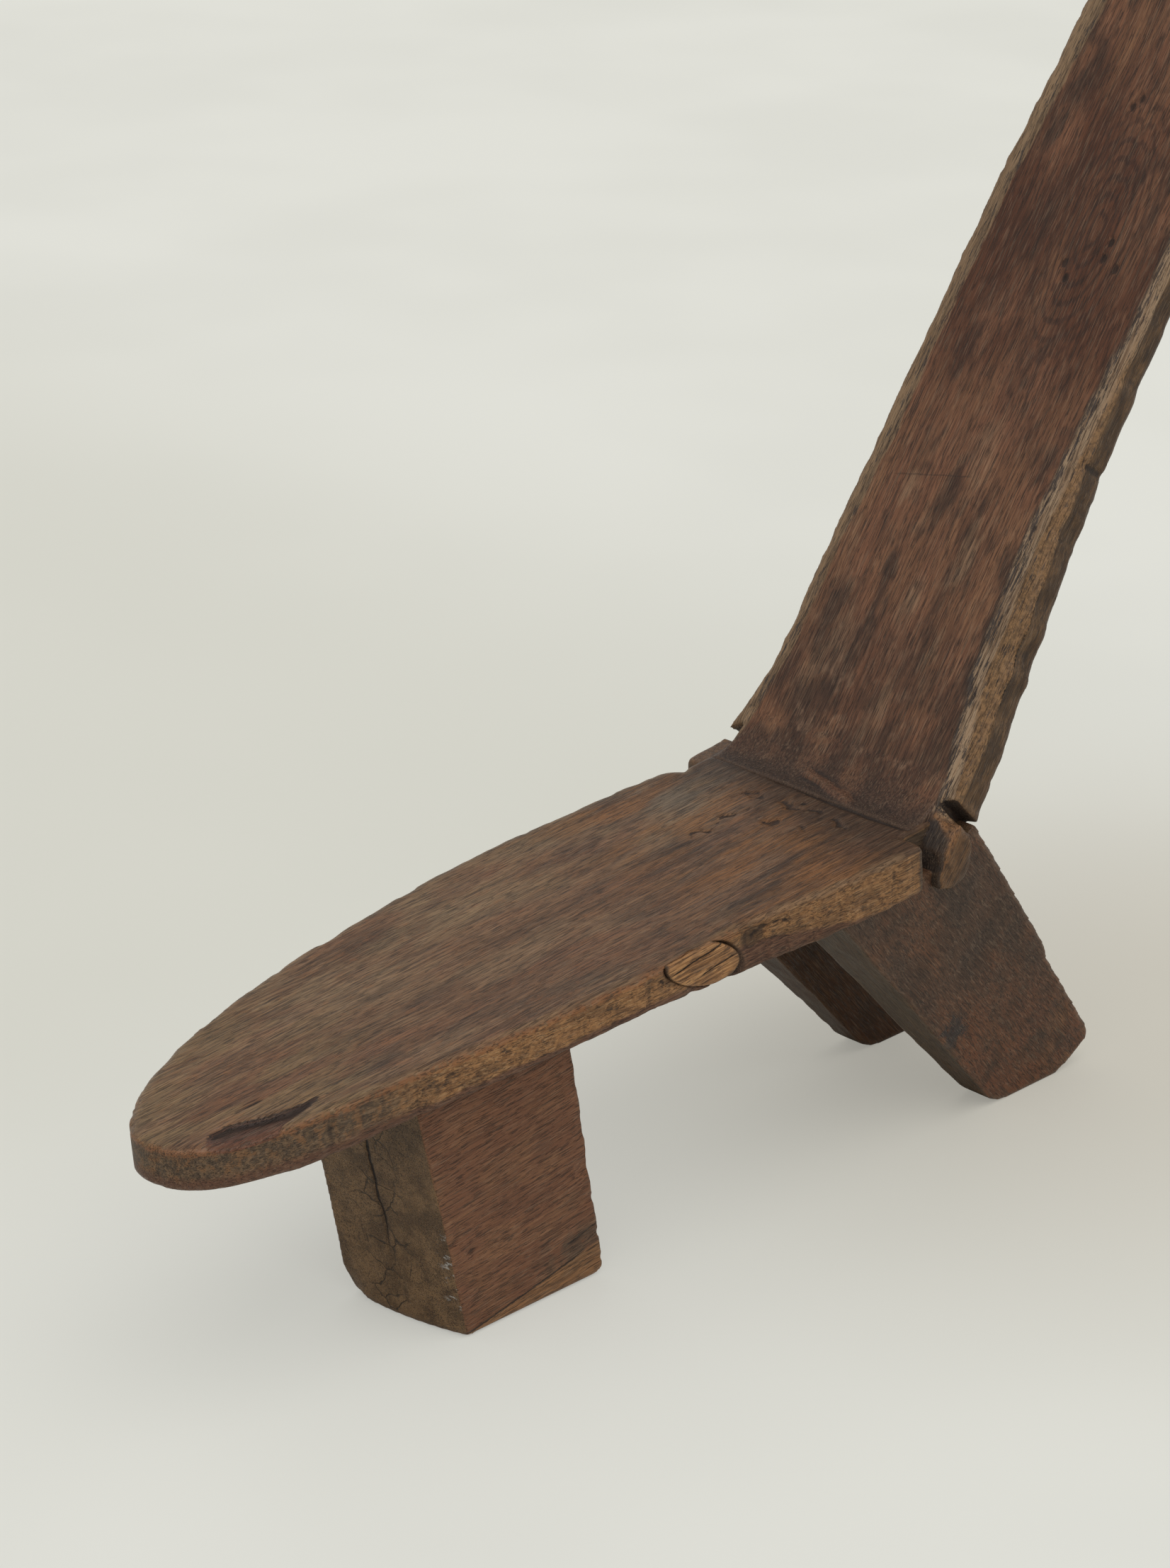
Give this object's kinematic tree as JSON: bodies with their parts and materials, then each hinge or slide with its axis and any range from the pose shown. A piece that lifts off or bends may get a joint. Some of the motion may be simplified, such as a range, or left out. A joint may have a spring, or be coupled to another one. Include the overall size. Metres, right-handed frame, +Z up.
{
  "type": "low reclining stool",
  "caption": "Low carved reclining stool: pointed seat plank on a block leg, raking slab legs behind and a tall plank backrest with hooked, notched lower corners.",
  "frame": {"origin": "on the floor, in the middle of the stool's bounding box seen from above", "axes": "+Y from the seat's pointed tip back towards the backrest, +Z up, +X to the left of someone sitting in it"},
  "size_m": [0.2448, 1.0774, 0.8505],
  "materials": {
    "seat_wood": "hand-hewn dark hardwood, worn and oiled by use",
    "back_wood": "hand-hewn dark hardwood with pale worn edges",
    "front_leg_wood": "hand-hewn dark hardwood, cracked end grain in front",
    "rear_leg_wood": "hand-hewn dark hardwood, dull",
    "knot_wood": "dead branch knot, cracked and dry"
  },
  "bodies": {
    "root": {"seat_plank": "seat_wood", "backrest_plank": "back_wood", "front_leg": "front_leg_wood", "rear_leg_left": "rear_leg_wood", "rear_leg_right": "rear_leg_wood", "edge_knot": "knot_wood"}
  },
  "joints": []
}
